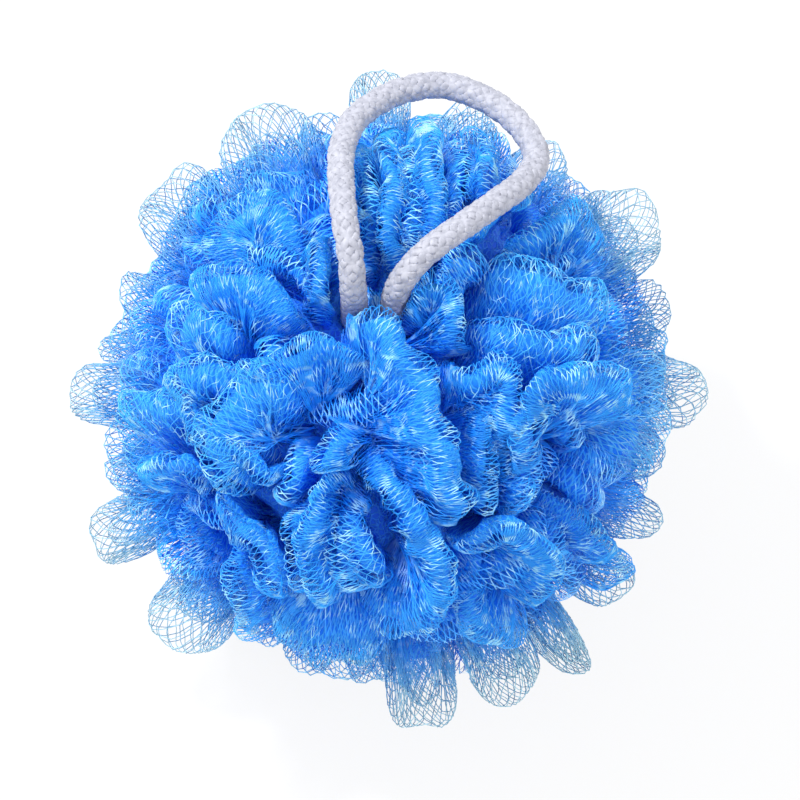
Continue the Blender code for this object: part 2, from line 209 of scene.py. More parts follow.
# Long folds on the side that faces the viewer: width, reach, lean and the crest's
# points, right and up from the ball centre
FRONT_FOLDS = (
    (9.0, 61.0, 15, ((-11, 16.5), (-3, 16.5), (4, 11.5), (9, 2.5), (12.5, -8),
                     (15, -19.5), (15.5, -30))),
    (8.5, 61.0, 7, ((-4.5, -11), (1.5, -18), (7.5, -25.5), (12, -32), (12, -39),
                    (8, -45), (0.5, -47), (-6.5, -46))),
    (8.0, 59.5, -7, ((-8, -15), (-13.5, -19.5), (-15.5, -29), (-14, -38.5), (-9.5, -45))),
    (9.0, 60.5, -15, ((-16, 2.5), (-25, 4), (-32, -1), (-34.5, -8.5), (-33, -16.5),
                      (-27, -20.5))),
    (8.0, 60.5, 14, ((-30, 1), (-25.5, 7), (-18, 10), (-9.5, 10.5), (-3.5, 7))),
    (8.0, 59.5, 9, ((3, 17.5), (6.5, 21.5), (11.5, 21.5), (15, 16.5), (16.5, 10))),
    (8.0, 59.5, 11, ((12.5, 7), (18, 5.5), (23.5, 7), (26.5, 2.5), (26, -6), (23.5, -13.5))),
    (9.0, 61.0, 14, ((28.5, -19.5), (27, -7), (29, 1.5), (36, 5.5), (44.5, 4),
                     (50.5, -1.5), (51, -10))),
    (8.5, 59.5, 13, ((-37, -22), (-31, -23.5), (-25, -28.5), (-21, -36.5), (-19, -42.5))),
    (7.0, 58.0, -5, ((-19, -22.5), (-17.5, -30.5), (-17, -39))),
    (8.5, 60.0, 12, ((14.5, -34), (19, -28), (24.5, -24.5), (31, -28), (33, -36.5),
                     (30.5, -44.5))),
    (8.0, 58.5, -8, ((14.5, -39.5), (18, -45), (24, -48), (30, -46.5))),
    (9.0, 58.5, 10, ((35.5, -22.5), (41.5, -26), (46.5, -33), (47.5, -39.5))),
    (9.0, 60.0, 15, ((19, 28), (27.5, 26), (38.5, 21.5), (47, 15))),
    (8.5, 59.0, 14, ((18.5, 17.5), (26.5, 14), (35.5, 12), (45.5, 10))),
    (9.0, 60.5, 12, ((26, 30.5), (33, 36.5), (42.5, 33), (48, 26))),
    (8.0, 61.5, 6, ((1.5, 28), (0.5, 36.5), (0, 44), (0.5, 52), (1, 56))),
    (8.0, 61.5, -8, ((9.5, 32.5), (10.5, 39.5), (9, 46), (8.5, 52.5), (9, 57))),
    (8.0, 61.5, 8, ((20.5, 42), (19, 48), (18, 54))),
    (9.0, 59.5, 13, ((-45.5, 12), (-38, 16.5), (-30, 14))),
    (8.5, 59.0, 13, ((-45, 3.5), (-36.5, 6.5), (-28.5, 3))),
    (9.0, 59.0, 12, ((-53, -3), (-44.5, -0.5), (-37, -5))),
    (8.5, 58.5, 11, ((-49.5, -14.5), (-42.5, -12.5), (-36, -17.5))),
    (9.0, 60.5, 14, ((-33.5, 24.5), (-32.5, 32.5), (-27, 37.5), (-20, 36), (-16.5, 29.5))),
    (7.0, 59.0, 6, ((-15, 32.5), (-12, 26), (-15, 19))),
    (8.5, 60.0, 12, ((-41, 20), (-33, 24.5), (-24.5, 22.5), (-18.5, 15.5))),
    (8.0, 57.5, 6, ((19, -1), (20.5, -11), (18.5, -20.5))),
    (7.0, 57.0, -5, ((25.5, -16), (27.5, -23.5))),
    (8.0, 57.5, 7, ((-6.5, -22.5), (-3.5, -30.5), (-1.5, -39))),
    (8.0, 58.5, -9, ((-10.5, -4), (-12, -10), (-10, -16.5))),
    (8.0, 61.3, 5, ((-8, 31), (-9, 38), (-8, 46), (-5, 52))),
    (8.0, 61.3, -5, ((13, 31), (19, 35.5), (25, 39.5), (29, 45))),
)
# Lower folds that fill the gaps between those, in the same terms: reach, points
GAP_FOLDS = (
    (59.2, ((4.5, 29), (5, 38), (4.5, 46), (5, 54))),
    (59.2, ((-3.8, 29), (-4.5, 38), (-4, 46), (-2.5, 54))),
    (58.8, ((14, 36.5), (14.8, 44), (13.5, 53))),
    (57.5, ((20, 30.5), (15, 27), (11, 24))),
    (56.0, ((-19, -10), (-18, -17), (-22, -23))),
    (56.0, ((-4.5, -20), (-8, -27), (-7, -36), (-3, -42))),
    (55.5, ((28, -1), (22, -4), (23, -12))),
    (56.0, ((17.5, -12), (20, -20), (23, -24))),
)
# The cord's free part as the photo shows it: right, up, distance from the ball centre
CORD_ROUTE = (
    (-6.0, 21.5, 57.0), (-6.4, 26.6, 61.3), (-7.5, 33.2, 63.8), (-8.3, 43.0, 63.9),
    (-7.6, 48.4, 63.9), (-4.7, 53.3, 64.0), (2.3, 57.6, 64.4), (10.6, 59.0, 64.8),
    (18.0, 56.8, 64.6), (23.6, 53.2, 64.3), (27.4, 48.6, 63.9), (28.4, 44.4, 63.7),
    (25.8, 40.4, 63.6), (20.8, 36.6, 63.6), (15.4, 32.8, 63.4), (9.8, 28.9, 62.6),
    (5.6, 25.1, 60.3), (2.9, 21.4, 56.6),
)


Fold = namedtuple("Fold", "width reach square crest lean")


def unit(vectors):
    vectors = np.asarray(vectors, dtype=float)
    return vectors / np.linalg.norm(vectors, axis=-1, keepdims=True)


def distances(points):
    """How far along a line each of its points is."""
    steps = np.linalg.norm(np.diff(points, axis=0), axis=1)
    return np.concatenate(((0.0,), np.cumsum(steps)))


def smooth(points, count):
    """Evenly spaced points on a smooth curve through the given ones."""
    points = np.asarray(points, dtype=float)
    ends = np.vstack((2 * points[0] - points[1], points, 2 * points[-1] - points[-2]))
    fine = []
    for i in range(1, len(ends) - 2):
        a, b, c, d = ends[i - 1:i + 3]
        for t in np.linspace(0.0, 1.0, 24, endpoint=False):
            fine.append(0.5 * (2 * b + (c - a) * t + (2 * a - 5 * b + 4 * c - d) * t ** 2
                               + (3 * b - a - 3 * c + d) * t ** 3))
    fine = np.array(fine + [points[-1]])
    along = distances(fine)
    at = np.linspace(0.0, along[-1], count)
    return np.column_stack([np.interp(at, along, fine[:, k]) for k in range(3)])


def seen(right, up, reach):
    """The point at this distance from the ball centre, in front of a place in the view."""
    depth = math.sqrt(max(reach ** 2 - right ** 2 - up ** 2, 0.0))
    return right * RIGHT + up * UP + depth * TOWARD


def middle(fold):
    """The direction of the middle of a fold's crest."""
    return fold.crest[len(fold.crest) // 2]


def nearest_angles(crest, taken):
    """Degrees from each of a crest's directions to the nearest one that is taken."""
    return np.degrees(np.arccos(np.clip(crest @ taken.T, -1.0, 1.0))).min(axis=1)


def make_folds():
    """The outer folds, the lobes at the rim first, then those that the photo shows."""
    folds = []
    for angle, reach, half, front in RIM_LOBES:
        crest = []
        for step in (-1.0, 0.0, 1.0):
            a = math.radians(angle) + step * 1.2 * half / reach
            crest.append(math.cos(a) * RIGHT + math.sin(a) * UP + front / reach * TOWARD)
        folds.append(Fold(10.0 + 0.4 * half, reach, LOBE_SQUARE, unit(smooth(crest, 9)), 0.0))
    for width, reach, lean, places in FRONT_FOLDS:
        crest = [seen(x, y, reach) for x, y in places]
        folds.append(Fold(width, reach, FRONT_SQUARE, unit(smooth(crest, 13)), lean))

    # The rest go wherever there is most room, each turned its own way
    rng = np.random.RandomState(FOLD_SEED)
    taken = np.vstack([fold.crest for fold in folds])
    taken = np.vstack((taken, unit([(DIP_X, DIP_Y, FOLD_REACH)])))
    for fold in folds[:len(RIM_LOBES)]:
        taken = np.vstack((taken, unit(fold.crest + 0.2 * TOWARD)))
    while len(folds) < FOLD_COUNT:
        best = None
        for _ in range(FOLD_TRIES):
            centre = unit(rng.normal(size=3))
            side = unit(np.cross(centre, rng.normal(size=3)))
            across = np.cross(centre, side)
            half = rng.uniform(*FOLD_HALF)
            bend = rng.uniform(-1.0, 1.0)
            twist = rng.uniform(-3.0, 3.0)
            t = np.linspace(-half, half, 9)[:, None]
            crest = unit(centre + side * t + across * (bend * t ** 2 + twist * t ** 3))
            room = nearest_angles(crest, taken)
            score = room.min() + 0.35 * room.mean() + 12.0 * half
            if best is None or score > best[0]:
                best = (score, crest)
        reach = FOLD_REACH + rng.uniform(-1.0, 1.0) * FOLD_REACH_SPREAD
        from_rim = abs(best[1][4] @ TOWARD) / RECESS_ZONE
        reach -= RIM_RECESS * max(1.0 - from_rim ** 2, 0.0)
        width = FOLD_WIDTH + rng.uniform(-1.0, 1.0) * FOLD_WIDTH_SPREAD
        lean = rng.choice((-1.0, 1.0)) * rng.uniform(*FOLD_LEAN)
        folds.append(Fold(width, reach, SPARE_SQUARE, best[1], lean))
        taken = np.vstack((taken, best[1]))
    return folds


def nested_lobes(lobes):
    """A second turn of net inside each larger lobe, and a taller one behind the cord."""
    found = []
    for lobe in lobes:
        width, reach, square, crest, _ = lobe
        if 55.0 < reach < 56.0 and middle(lobe) @ UP > 0.9:
            found.append(Fold(width + 2.0, reach + 2.6, square,
                              unit(crest - 0.06 * TOWARD), 2.0))
        if reach > 59.0:
            centre = middle(lobe)
            smaller = unit(centre + 0.72 * (crest - centre) + 0.10 * TOWARD)
            found.append(Fold(width - 3.0, reach - 4.5, square, smaller, 4.0))
    return found


def inner_folds(folds):
    """Shorter folds between the outer ones, wherever they leave most room."""
    rng = np.random.RandomState(INNER_SEED)
    found = []
    for reach, places in GAP_FOLDS:
        crest = unit(smooth([seen(x, y, reach) for x, y in places], 9))
        found.append(Fold(INNER_WIDTH, reach, INNER_SQUARE, crest, rng.uniform(-6.0, 6.0)))
    taken = np.vstack([fold.crest[::2] for fold in folds + found])
    while len(found) < INNER_COUNT:
        best = None
        for _ in range(INNER_TRIES):
            centre = unit(rng.normal(size=3))
            side = unit(np.cross(centre, rng.normal(size=3)))
            across = np.cross(centre, side)
            half = rng.uniform(*INNER_HALF)
            t = np.linspace(-half, half, 9)[:, None]
            crest = unit(centre + side * t + across * (rng.uniform(-1.2, 1.2) * t ** 2))
            room = nearest_angles(crest, taken)
            score = room.mean() * (1.0 + 0.25 * max(centre @ TOWARD, 0.0))
            if best is None or score > best[0]:
                best = (score, crest)
        reach = INNER_REACH + rng.uniform(-2.0, 2.0)
        found.append(Fold(INNER_WIDTH, reach, INNER_SQUARE, best[1], rng.uniform(-8.0, 8.0)))
        taken = np.vstack((taken, best[1][::2]))
    return found


def cord_line():
    """The free cord's route, from one leg's foot to the other's."""
    left, right = ((DIP_X + side * LEG_SPACING, DIP_Y) for side in (-0.5, 0.5))
    heights = (CORD_START, *CORD_LEG_HEIGHTS)
    route = [(*left, height) for height in heights]
    route += [seen(*place) for place in CORD_ROUTE]
    route += [(*right, height) for height in reversed(heights)]
    return route


def soft_min(value, limit, ease):
    """The smaller of the two, with a rounded step between them."""
    gap = (value - limit) / ease
    over = np.where(gap > 20.0, gap, np.log1p(np.exp(np.minimum(gap, 20.0))))
    return value - ease * over


def batches(chosen):
    """The chosen points, so many at a time."""
    return (chosen[start:start + BATCH] for start in range(0, len(chosen), BATCH))


def press(points, cord, inset=0.0):
    """Net pressed down by the cord, by the dip round its legs and by what it rests on."""
    shape = points.shape
    points = points.reshape(-1, 3)
    far = np.linalg.norm(points, axis=1)
    way = points / far[:, None]

    # The dip
    dip = unit(np.array((DIP_X, DIP_Y + DIP_BACK, FOLD_REACH)))
    off = np.arccos(np.clip(way @ dip, -1.0, 1.0)) * FOLD_REACH
    limit = DIP_FLOOR + DIP_SLOPE * off ** DIP_CURVE
    near = np.nonzero(off < DIP_RADIUS)[0]
    far[near] = soft_min(far[near], limit[near], DIP_EASE)

    # The groove under the loop of the cord
    lane = unit(cord)
    height = np.linalg.norm(cord, axis=1)
    keep = height > CORD_LIES_ABOVE
    lane, height = lane[keep], height[keep]
    clear = 0.5 * CORD_DIAMETER + CORD_GAP
    for some in batches(np.nonzero(way @ unit(lane.mean(axis=0)) > NEAR_LOOP)[0]):
        aside = np.arccos(np.clip(way[some] @ lane.T, -1.0, 1.0)) * height
        under = height - np.sqrt(np.clip(clear ** 2 - aside ** 2, 0.0, None))
        under += CORD_GROOVE_SLOPE * np.clip(aside - clear, 0.0, None)
        far[some] = soft_min(far[some], under.min(axis=1), CORD_GROOVE_EASE)
    points = way * (far - inset)[:, None]

    # Pushed aside by the two legs on their way out
    legs = cord[(np.linalg.norm(cord, axis=1) < LEG_TOP) & (cord[:, 2] > LEG_FOOT)]
    away = np.hypot(points[:, 0] - DIP_X, points[:, 1] - DIP_Y - LEG_BACK)
    room = 0.5 * CORD_DIAMETER + LEG_GAP
    for some in batches(np.nonzero((away < LEG_RADIUS) & (points[:, 2] > LEG_FOOT))[0]):
        gap = points[some][:, None, :] - legs[None]
        apart = np.linalg.norm(gap, axis=2)
        nearest = apart.argmin(axis=1)
        row = np.arange(len(some))
        apart, gap = apart[row, nearest], gap[row, nearest]
        inside = apart < room
        moved = legs[nearest] + gap * (room / np.maximum(apart, 0.05))[:, None]
        points[some[inside]] = moved[inside]

    # Folded over level underneath
    points[:, 2] = -soft_min(-points[:, 2], REST_HEIGHT - REST_GAP, REST_EASE)
    return points.reshape(shape)


def crumple(points):
    """Uneven shifts that every layer at one place shares."""
    rng = np.random.RandomState(CRUMPLE_SEED)
    moved = points.copy()
    for wave, amount in CRUMPLES:
        ways = unit(rng.normal(size=(6, 3))) * (TURN / wave)
        starts = rng.uniform(*ANY_PHASE, 6)
        turns = np.sin(points @ ways.T + starts)
        moved += amount * (turns[..., :3] * (0.6 + 0.4 * turns[..., 3:]))
    return moved


def ripple(u, size, length, phase):
    return size * np.sin(TURN * u / length + phase)


def fold_wall(fold, seed, fullness):
    """Turns places in a fold's net, along and across its crest in mm, into points."""
    rng = np.random.RandomState(seed)
    width, reach, square, crest, lean = fold
    turn = np.linspace(math.pi, 0.0, 241)
    e = np.sign(np.cos(turn)) * np.abs(np.cos(turn)) ** (2.0 / square)
    rise = np.sqrt(np.clip(1.0 - np.abs(e) ** square, 0.0, 1.0))
    base = min(CREASE_RADIUS - 2.0, reach - 10.0)
    spots = np.linspace(-1.0, 1.0, len(crest))

    def way(at):
        return unit(np.column_stack([np.interp(at, spots, crest[:, k]) for k in range(3)]))

    def drawn(sizes, lengths, phases=None):
        return rng.uniform(*sizes), rng.uniform(*lengths), rng.uniform(*ANY_PHASE, phases)

    top = way(e) * (base + (reach - base) * rise)[:, None]
    step = way(np.minimum(e + 0.04, 1.0)) - way(np.maximum(e - 0.04, -1.0))
    normal = unit(np.cross(step, way(e)))
    focus = way(0.35 * e) * (FOCUS_RADIUS + 1.5 * rise)[:, None] + normal * lean
    along = distances(top)
    length = along[-1]
    bulge = 0.5 * width * rng.uniform(*fullness)
    swell = drawn(*SWELL)
    sway = drawn(*SWAY)
    if square != SPARE_SQUARE:
        sway = (PLACED_SWAY * sway[0], *sway[1:])
    dent_size, dent_length, dent_phase = drawn(*DENT)
    pleat_size, pleat_length, pleat_phases = drawn(*PLEAT, 2)

    def place(u, q):
        u = np.clip(u, 0.0, length)
        c, f, n = (np.stack([np.interp(u, along, a[:, k]) for k in range(3)], axis=-1)
                   for a in (top, focus, normal))
        inward = f - c
        room = np.linalg.norm(inward, axis=-1)
        inward = inward / room[..., None]
        side = np.sign(q)
        q = np.abs(q)
        end_room = np.clip(np.minimum(u, length - u) / END_TAPER, 0.0, 1.0)

        # Round over the crest, then down the side towards the focus
        a = bulge * (0.55 + 0.45 * np.sqrt(end_room))
        a = a * (1.0 + ripple(u, *swell))
        angle = np.minimum(q / a, 0.5 * math.pi)
        beyond = np.maximum(q - 0.5 * math.pi * a, 0.0)
        down = a * (1.0 - np.cos(angle)) + beyond
        dent = dent_size * (1.0 + ripple(u, 1.0, dent_length, dent_phase))
        down = np.minimum(down + dent * end_room, 0.96 * room)
        out = a * np.sin(angle) * (1.0 - 0.72 * np.clip(beyond / (room + 4.0), 0.0, 1.0))
        wave = ripple(u, *sway) * (1.0 - 0.5 * (down / room))
        fine = ripple(u, pleat_size, pleat_length, np.where(side > 0, *pleat_phases))
        fine = fine * np.clip((q - 0.4 * a) / (2.5 * a), 0.0, 1.0)
        shift = side * out + wave + fine
        point = c + inward * down[..., None] + n * shift[..., None]
        face = n * (side * np.sin(angle))[..., None] - inward * np.cos(angle)[..., None]
        return point, unit(face)

    return place, length


def net_threads(length, cell, tall, q_from, q_to, step):
    """Both families of strands over one band of a fold's net: rows of places in it."""
    slope = cell / tall
    q = np.linspace(q_from, q_to, max(int(round((q_to - q_from) / step)), 1) + 1)
    reach = slope * max(abs(q_from), abs(q_to))
    first = -math.ceil(reach / cell)
    last = math.ceil((length + reach) / cell)
    rows = []
    for turn in (-1.0, 1.0):
        start = (np.arange(first, last + 1) + 0.25 * (turn + 1.0)) * cell
        rows.append(start[:, None] + turn * slope * q[None, :])
    u = np.vstack(rows)
    return u, np.broadcast_to(q, u.shape).copy()


def wander(u, q, phases, uneven):
    """How far strands stray along the crest and across it: waves of several lengths."""
    warp = 1.0 * np.sin(u * 0.42 + phases[0]) + 0.7 * np.sin(u * 0.3 + q * 0.2 + phases[1])
    warp += uneven * (0.3 * np.sin(u * 1.1 + q * 0.5 + phases[2]) * np.sin(q * 0.8 + phases[3])
                      + 0.16 * np.sin(u * 2.3 - q * 1.1 + phases[6]))
    slide = 0.8 * np.sin(u * 0.5 + phases[4])
    slide += uneven * (0.3 * np.sin(u * 1.7 + phases[5]) + 0.2 * np.sin(q * 1.9 + phases[7]))
    return warp, slide * np.clip(1.2 - np.abs(q) / WALL, 0, 1)


def strand_mesh(points, faces_out, keep, half, corners):
    """Strands as three-sided bars, or as flat ribbons where corners is 2."""
    rows, count, _ = points.shape
    run = np.gradient(points, axis=1)
    run = unit(run + 1e-9)
    side = unit(np.cross(run, faces_out) + 1e-9)
    out = np.cross(side, run)
    if corners == 3:
        ring = (out * half, side * (0.9 * half) - out * (0.5 * half),
                -side * (0.9 * half) - out * (0.5 * half))
    else:
        ring = (side * half, -side * half)
    verts = np.stack([points + offset for offset in ring], axis=2).reshape(-1, 3)
    index = np.arange(rows * count * corners).reshape(rows, count, corners)
    a, b = index[:, :-1][keep], index[:, 1:][keep]
    quads = []
    for k in range(corners if corners == 3 else 1):
        n = (k + 1) % corners
        quads.append(np.stack((a[:, k], a[:, n], b[:, n], b[:, k]), axis=-1))
    return verts, np.vstack(quads)


def map_patch(number, columns, u, q, length):
    """One fold's own square of its piece's map for baked colours."""
    edge = 0.02
    x = number % columns + edge + (1.0 - 2.0 * edge) * np.clip(u / length, 0.0, 1.0)
    y = number // columns + edge + (0.5 - edge) * (1.0 + q / WALL)
    return np.column_stack((x.ravel() / columns, y.ravel() / columns))


def add_piece(mesh):
    """A piece of the scene that shows a mesh, under the mesh's name."""
    mesh.polygons.foreach_set("use_smooth", np.full(len(mesh.polygons), True))
    piece = bpy.data.objects.new(mesh.name, mesh)
    bpy.context.scene.collection.objects.link(piece)
    return piece


def bulk_mesh(name, verts, quads, maps=()):
    """A piece made of quads from lists of arrays, in mm from the ball centre.

    Its maps are named lists of the vertices' places in them.
    """
    verts, quads = np.vstack(verts), np.vstack(quads)
    used = np.unique(quads)
    renumber = np.zeros(len(verts), dtype=np.int64)
    renumber[used] = np.arange(len(used))
    quads = renumber[quads]
    mesh = bpy.data.meshes.new(name)
    mesh.vertices.add(len(used))
    mesh.vertices.foreach_set("co", ((verts[used] + CENTRE) * MM).astype(np.float32).ravel())
    mesh.loops.add(quads.size)
    mesh.loops.foreach_set("vertex_index", quads.astype(np.int32).ravel())
    mesh.polygons.add(len(quads))
    mesh.polygons.foreach_set("loop_start", np.arange(0, quads.size, 4, dtype=np.int32))
    for title, places in maps:
        places = np.vstack(places)[used][quads.ravel()]
        layer = mesh.uv_layers.new(name=title)
        layer.data.foreach_set("uv", places.astype(np.float32).ravel())
    mesh.update(calc_edges=True)
    return add_piece(mesh)


def net_piece(name, kind, folds, seeds, cord):
    """One length of the net tube: its share of the folds, as strands."""
    cell, tall, thick, fullness, uneven, steps = KINDS[kind]
    half = 0.5 * thick
    all_verts, all_quads, all_coords = [], [], []
    total = 0
    columns = math.ceil(math.sqrt(len(folds)))
    for number, (fold, seed) in enumerate(zip(folds, seeds)):
        place, length = fold_wall(fold, seed, fullness)
        rng = np.random.RandomState(STRAND_SEED + seed)
        phases = rng.uniform(*ANY_PHASE, 8)
        crest_band = 0.8 * fold.width if kind != "inner" else INNER_BAND
        bands = [(-crest_band, crest_band, steps[0], 2 if kind == "inner" else 3)]
        for start, end, step in ((crest_band, crest_band + SHOULDER, steps[1]),
                                 (crest_band + SHOULDER, WALL, steps[2])):
            if step > 0.0 and end > start:
                bands += [(-end, -start, step, 2), (start, end, step, 2)]
        for low, high, step, corners in bands:
            u, q = net_threads(length, cell, tall, low, high, step)
            keep = (u >= 0.0) & (u <= length)
            keep = keep[:, :-1] & keep[:, 1:]
            warp, slide = wander(u, q, phases, uneven)
            points, face = place(u + warp, q + slide)
            points = crumple(points) + STRAND_JITTER * rng.normal(size=points.shape)
            verts, quads = strand_mesh(press(points, cord), face, keep, half, corners)
            edges = np.array((0.0, half, -half) if corners == 3 else (half, -half))
            all_verts.append(verts)
            all_quads.append(quads + total)
            all_coords.append(map_patch(number, columns, u.ravel()[:, None] + edges,
                                        np.repeat(q.ravel(), corners).reshape(-1, corners),
                                        length))
            total += len(verts)
    return bulk_mesh(name, all_verts, all_quads, [("OFBake", all_coords)])


def layer_piece(name, groups, cord):
    """The net's next layer inside each fold, close enough together to be one surface."""
    all_verts, all_quads, all_coords, all_cloth = [], [], [], []
    total, number = 0, 0
    columns = math.ceil(math.sqrt(sum(len(folds) for _, folds, _ in groups)))
    for kind, folds, seeds in groups:
        for fold, seed in zip(folds, seeds):
            from_rim = abs(middle(fold) @ TOWARD) / 0.5
            gap = LAYER_GAP + RIM_GAP * max(1.0 - from_rim ** 2, 0.0)
            inside = fold._replace(width=fold.width - LAYER_GAP, reach=fold.reach - gap)
            place, length = fold_wall(inside, seed, KINDS[kind].fullness)
            rows = int(length / LAYER_STEP) + 2
            u, q = np.meshgrid(np.linspace(0.0, length, rows),
                               np.linspace(0.4 - WALL, WALL - 0.4, LAYER_COLUMNS),
                               indexing="ij")
            points, _ = place(u, q)
            points = press(crumple(points), cord, LAYER_PRESS)
            index = np.arange(u.size).reshape(u.shape) + total
            quads = np.stack((index[:-1, :-1], index[1:, :-1], index[1:, 1:],
                              index[:-1, 1:]), axis=-1)
            all_verts.append(points.reshape(-1, 3))
            all_quads.append(quads.reshape(-1, 4))
            all_coords.append(map_patch(number, columns, u, q, length))
            all_cloth.append(np.column_stack((u.ravel() + 60.0 * number, q.ravel())) * 0.01)
            total += u.size
            number += 1
    return bulk_mesh(name, all_verts, all_quads,
                     [("OFBake", all_coords), ("cloth", all_cloth)])


def geodesic(count):
    """Directions and triangles of an icosahedron with each edge cut into count."""
    g = (1.0 + math.sqrt(5.0)) / 2.0
    corners = unit([(-1, g, 0), (1, g, 0), (-1, -g, 0), (1, -g, 0), (0, -1, g), (0, 1, g),
                    (0, -1, -g), (0, 1, -g), (g, 0, -1), (g, 0, 1), (-g, 0, -1), (-g, 0, 1)])
    sides = ((0, 11, 5), (0, 5, 1), (0, 1, 7), (0, 7, 10), (0, 10, 11), (1, 5, 9), (5, 11, 4),
             (11, 10, 2), (10, 7, 6), (7, 1, 8), (3, 9, 4), (3, 4, 2), (3, 2, 6), (3, 6, 8),
             (3, 8, 9), (4, 9, 5), (2, 4, 11), (6, 2, 10), (8, 6, 7), (9, 8, 1))
    found = {}
    points = []
    faces = []

    def corner(point):
        key = tuple(np.round(point, 6))
        if key not in found:
            found[key] = len(points)
            points.append(point)
        return found[key]

    for a, b, c in sides:
        a, b, c = corners[a], corners[b], corners[c]
        rows = []
        for i in range(count + 1):
            rows.append([corner(unit(a * (count - i) + b * (i - j) + c * j))
                         for j in range(i + 1)])
        for i in range(count):
            for j in range(i + 1):
                faces.append((rows[i][j], rows[i + 1][j], rows[i + 1][j + 1]))
                if j < i:
                    faces.append((rows[i][j], rows[i + 1][j + 1], rows[i][j + 1]))
    return np.array(points), faces


def heart_piece(folds, cord):
    """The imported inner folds, too deep for single strands to show."""
    ways, faces = geodesic(HEART_CUTS)
    radius = np.full(len(ways), HEART_RADIUS)
    for width, reach, square, crest, _ in folds:
        start, end = crest[:-1] * reach, crest[1:] * reach
        run = end - start
        for k in range(len(run)):
            spot = ways * reach - start[k]
            t = np.clip(spot @ run[k] / (run[k] @ run[k]), 0.0, 1.0)
            aside = np.linalg.norm(spot - t[:, None] * run[k], axis=1) / (0.5 * width)
            to_end = np.abs(2.0 * (k + t) / len(run) - 1.0)
            top = np.sqrt(np.clip(1.0 - aside ** 2 - to_end ** square, 0.0, 1.0))
            high = reach - HEART_DEPTH - HEART_RADIUS
            radius = np.maximum(radius, HEART_RADIUS + high * top)
    points = press(ways * radius[:, None], cord, 1.0)
    mesh = bpy.data.meshes.new("net_heart")
    mesh.from_pydata([tuple(p) for p in (points + CENTRE) * MM], [], faces)
    mesh.update()
    return add_piece(mesh)


def tube_quads(index):
    """The faces of a tube whose rings of vertices are the rows of index."""
    onward = np.roll(index, -1, axis=1)
    return [np.stack((index[:-1, j], onward[:-1, j], onward[1:, j], index[1:, j]), axis=-1)
            for j in range(index.shape[1])]


def braid(route):
    """The braided cord: flat yarns in both directions, over and under each other."""
    line = smooth(route, BRAID_STEPS)
    along = distances(line)
    run = unit(np.gradient(line, axis=0))
    side = np.zeros_like(line)
    side[0] = unit(np.cross(run[0], (0.3, 1.0, 0.2)))
    for i in range(1, len(line)):
        carried = side[i - 1] - run[i] * (side[i - 1] @ run[i])
        side[i] = unit(carried)
    up = np.cross(run, side)
    rounds = TURN * along / BRAID_PITCH
    corners = np.linspace(0.0, TURN, YARN_SIDES, False)
    verts, quads = [], []
    for turn in (-1.0, 1.0):
        for k in range(YARNS):
            angle = turn * rounds + TURN * k / YARNS
            over = np.cos(YARNS * rounds + math.pi * (k + (turn < 0)))
            radius = 0.5 * CORD_DIAMETER - BRAID_INSET + BRAID_WEAVE * over
            spoke = side * np.cos(angle)[:, None] + up * np.sin(angle)[:, None]
            centre = line + spoke * radius[:, None]
            heading = unit(np.gradient(centre, axis=0))
            across = unit(np.cross(heading, spoke))
            out = np.cross(across, heading)
            ring = [centre + across * (YARN_HALF_WIDTH * math.cos(a))
                    + out * (YARN_HALF_THICKNESS * math.sin(a)) for a in corners]
            index = np.arange(len(line) * YARN_SIDES).reshape(len(line), YARN_SIDES)
            quads += tube_quads(index + len(verts) * index.size)
            verts.append(np.stack(ring, axis=1).reshape(-1, 3))
    return bulk_mesh("braided_cord", verts, quads), along[-1], line


def knot_piece():
    """The knot at the foot of the throat: a lump with the cord's turns round it."""
    rows, sides = 41, 48
    a = math.pi * np.linspace(0.02, 0.98, rows)[:, None]
    b = TURN * np.arange(sides) / sides
    ripples = 0.88 + 0.12 * np.abs(np.cos(5.0 * a + b))
    verts = np.stack((DIP_X + KNOT_HALF[0] * ripples * np.sin(a) * np.cos(b),
                      DIP_Y + KNOT_HALF[1] * ripples * np.sin(a) * np.sin(b),
                      KNOT_HEIGHT - KNOT_HALF[2] * ripples * np.cos(a)), axis=-1)
    index = np.arange(rows * sides).reshape(rows, sides)
    return bulk_mesh("tied_knot", verts.reshape(-1, 3), tube_quads(index))


def surface(name, colour, roughness):
    made = bpy.data.materials.new(name)
    made.use_nodes = True
    shader = made.node_tree.nodes["Principled BSDF"]
    shader.inputs["Base Color"].default_value = (*colour, 1.0)
    shader.inputs["Roughness"].default_value = roughness
    return made, made.node_tree, shader


def node(tree, kind, inputs, **settings):
    """A new shader node; its inputs are values or the outputs of other nodes."""
    made = tree.nodes.new("ShaderNode" + kind)
    for key, value in settings.items():
        setattr(made, key, value)
    for key, value in inputs.items():
        if isinstance(value, bpy.types.NodeSocket):
            tree.links.new(value, made.inputs[key])
        else:
            made.inputs[key].default_value = value
    return made.outputs


def position(tree):
    return node(tree, "NewGeometry", {})["Position"]


def noise(tree, place, scale, detail):
    return node(tree, "TexNoise", {"Vector": place, "Scale": scale, "Detail": detail})


def span(tree, value, low, high, start=0.0, end=1.0):
    """Runs from start to end as the value goes from low to high, and stops there."""
    return node(tree, "MapRange", {"Value": value, "From Min": low, "From Max": high,
                                   "To Min": start, "To Max": end})["Result"]


def ramp(tree, share, stops):
    """The stops' colours over a share from 0 to 1."""
    made = node(tree, "ValToRGB", {"Fac": share})["Color"]
    elements = made.node.color_ramp.elements
    for element, (place, colour) in ((elements[0], stops[0]), (elements[1], stops[-1])):
        element.position = place
        element.color = (*colour, 1.0)
    for place, colour in stops[1:-1]:
        elements.new(place).color = (*colour, 1.0)
    return made


def mix(tree, factor, under, over):
    """One colour over another, as far as the factor says."""
    return node(tree, "Mix", {"Factor": factor, "A": under, "B": (*over, 1.0)},
                data_type="RGBA")["Result"]


